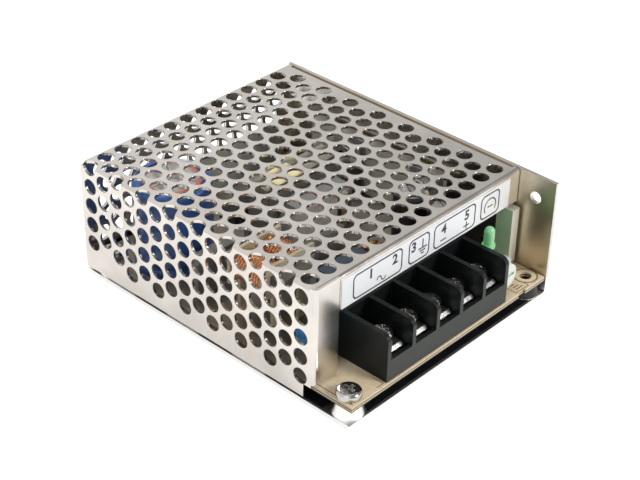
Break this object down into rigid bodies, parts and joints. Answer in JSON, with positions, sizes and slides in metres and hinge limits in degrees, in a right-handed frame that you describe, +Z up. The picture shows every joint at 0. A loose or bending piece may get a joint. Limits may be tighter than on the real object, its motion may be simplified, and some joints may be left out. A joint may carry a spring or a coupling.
{
  "type": "enclosed switching power supply",
  "caption": "Enclosed switching power supply: perforated folded cover on a sheet chassis, barrier screw terminals on an open ledge, output adjuster and green indicator.",
  "frame": {"origin": "centre of the underside, on the mounting plane", "axes": "+Z up, -Y towards the terminals, -X towards the perforated side, +X towards the chassis wall"},
  "size_m": [0.082, 0.099, 0.036],
  "materials": {
    "sheet_metal": "plated sheet, satin",
    "screw_nickel": "nickel plated, bright",
    "contact_tin": "tinned, satin",
    "spring_steel": "zinc plated",
    "film_black": "smooth insulating film",
    "board_tan": "lacquered laminate",
    "block_black": "moulded, slightly glossy",
    "label_silver": "printed label film",
    "trimmer_grey": "moulded",
    "rotor_white": "moulded",
    "led_green": "clear tinted epoxy",
    "bar_aluminium": "extruded, bare",
    "pad_grey": "silicone pad",
    "device_black": "moulded epoxy",
    "sleeve_navy": "shrink sleeve",
    "sleeve_dark": "shrink sleeve",
    "varistor_blue": "dipped epoxy",
    "film_cap_blue": "moulded box",
    "fuse_cream": "ceramic between metal caps",
    "disc_dark": "dipped epoxy",
    "ferrite": "sintered",
    "bobbin_cream": "moulded",
    "bobbin_black": "moulded",
    "copper_wire": "enamelled wire",
    "tape_yellow": "polyester tape",
    "ring_yellow": "coated powder core",
    "opto_white": "moulded"
  },
  "bodies": {
    "case": {"chassis_base": "sheet_metal", "chassis_wall": "sheet_metal", "cover_top": "sheet_metal", "cover_side": "sheet_metal", "cover_rear": "sheet_metal", "cover_lip": "sheet_metal", "cover_strip": "sheet_metal", "cover_flange": "sheet_metal", "wall_screws": "screw_nickel", "insulating_film": "film_black", "circuit_board": "board_tan", "board_screws": "screw_nickel", "terminal_block": "block_black", "terminal_contacts": "contact_tin", "label_strip": "label_silver", "trimmer_base": "trimmer_grey", "indicator_led": "led_green", "heat_bar": "bar_aluminium", "thermal_pad": "pad_grey", "device_insulators": "pad_grey", "switching_transistor": "device_black", "output_diode": "device_black", "device_screws": "screw_nickel", "bulk_capacitor": "sleeve_navy", "varistor": "varistor_blue", "suppression_capacitor": "film_cap_blue", "fuse": "fuse_cream", "bridge_rectifier": "device_black", "thermistor": "disc_dark", "choke_core": "ferrite", "choke_bobbins": "bobbin_cream", "choke_windings": "copper_wire", "transformer_core": "ferrite", "transformer_bobbin": "bobbin_black", "transformer_winding": "tape_yellow", "transformer_tape": "tape_yellow", "output_capacitor_1": "sleeve_dark", "output_capacitor_2": "sleeve_dark", "output_choke_core": "ring_yellow", "output_choke_winding": "copper_wire", "small_capacitor": "sleeve_dark", "optocoupler": "opto_white", "controller_chip": "device_black"},
    "clamp_1": {"terminal_clamp_1": "contact_tin", "spring_washer_1": "spring_steel"},
    "screw_1": {"terminal_screw_1": "screw_nickel"},
    "clamp_2": {"terminal_clamp_2": "contact_tin", "spring_washer_2": "spring_steel"},
    "screw_2": {"terminal_screw_2": "screw_nickel"},
    "clamp_3": {"terminal_clamp_3": "contact_tin", "spring_washer_3": "spring_steel"},
    "screw_3": {"terminal_screw_3": "screw_nickel"},
    "clamp_4": {"terminal_clamp_4": "contact_tin", "spring_washer_4": "spring_steel"},
    "screw_4": {"terminal_screw_4": "screw_nickel"},
    "clamp_5": {"terminal_clamp_5": "contact_tin", "spring_washer_5": "spring_steel"},
    "screw_5": {"terminal_screw_5": "screw_nickel"},
    "adjuster": {"trimmer_rotor": "rotor_white"}
  },
  "joints": [
    {"name": "clamp_1_lift", "type": "slide", "parent": "case", "child": "clamp_1", "axis": [0, 0, 1], "range_m": [0, 0.003]},
    {"name": "screw_1_turn", "type": "hinge", "parent": "clamp_1", "child": "screw_1", "pos_m": [-0.021, -0.042, 0.012], "axis": [0, 0, 1], "range_deg": [0, 1800]},
    {"name": "clamp_2_lift", "type": "slide", "parent": "case", "child": "clamp_2", "axis": [0, 0, 1], "range_m": [0, 0.003]},
    {"name": "screw_2_turn", "type": "hinge", "parent": "clamp_2", "child": "screw_2", "pos_m": [-0.0115, -0.042, 0.012], "axis": [0, 0, 1], "range_deg": [0, 1800]},
    {"name": "clamp_3_lift", "type": "slide", "parent": "case", "child": "clamp_3", "axis": [0, 0, 1], "range_m": [0, 0.003]},
    {"name": "screw_3_turn", "type": "hinge", "parent": "clamp_3", "child": "screw_3", "pos_m": [-0.002, -0.042, 0.012], "axis": [0, 0, 1], "range_deg": [0, 1800]},
    {"name": "clamp_4_lift", "type": "slide", "parent": "case", "child": "clamp_4", "axis": [0, 0, 1], "range_m": [0, 0.003]},
    {"name": "screw_4_turn", "type": "hinge", "parent": "clamp_4", "child": "screw_4", "pos_m": [0.0075, -0.042, 0.012], "axis": [0, 0, 1], "range_deg": [0, 1800]},
    {"name": "clamp_5_lift", "type": "slide", "parent": "case", "child": "clamp_5", "axis": [0, 0, 1], "range_m": [0, 0.003]},
    {"name": "screw_5_turn", "type": "hinge", "parent": "clamp_5", "child": "screw_5", "pos_m": [0.017, -0.042, 0.012], "axis": [0, 0, 1], "range_deg": [0, 1800]},
    {"name": "adjuster_turn", "type": "hinge", "parent": "case", "child": "adjuster", "pos_m": [0.0263, -0.0461, 0.0113], "axis": [0, 1, 0], "range_deg": [-115, 115]}
  ],
  "couplings": [
    {"joint": "screw_1_turn", "follows": "clamp_1_lift", "rad_per_m": 10472},
    {"joint": "screw_2_turn", "follows": "clamp_2_lift", "rad_per_m": 10472},
    {"joint": "screw_3_turn", "follows": "clamp_3_lift", "rad_per_m": 10472},
    {"joint": "screw_4_turn", "follows": "clamp_4_lift", "rad_per_m": 10472},
    {"joint": "screw_5_turn", "follows": "clamp_5_lift", "rad_per_m": 10472}
  ]
}
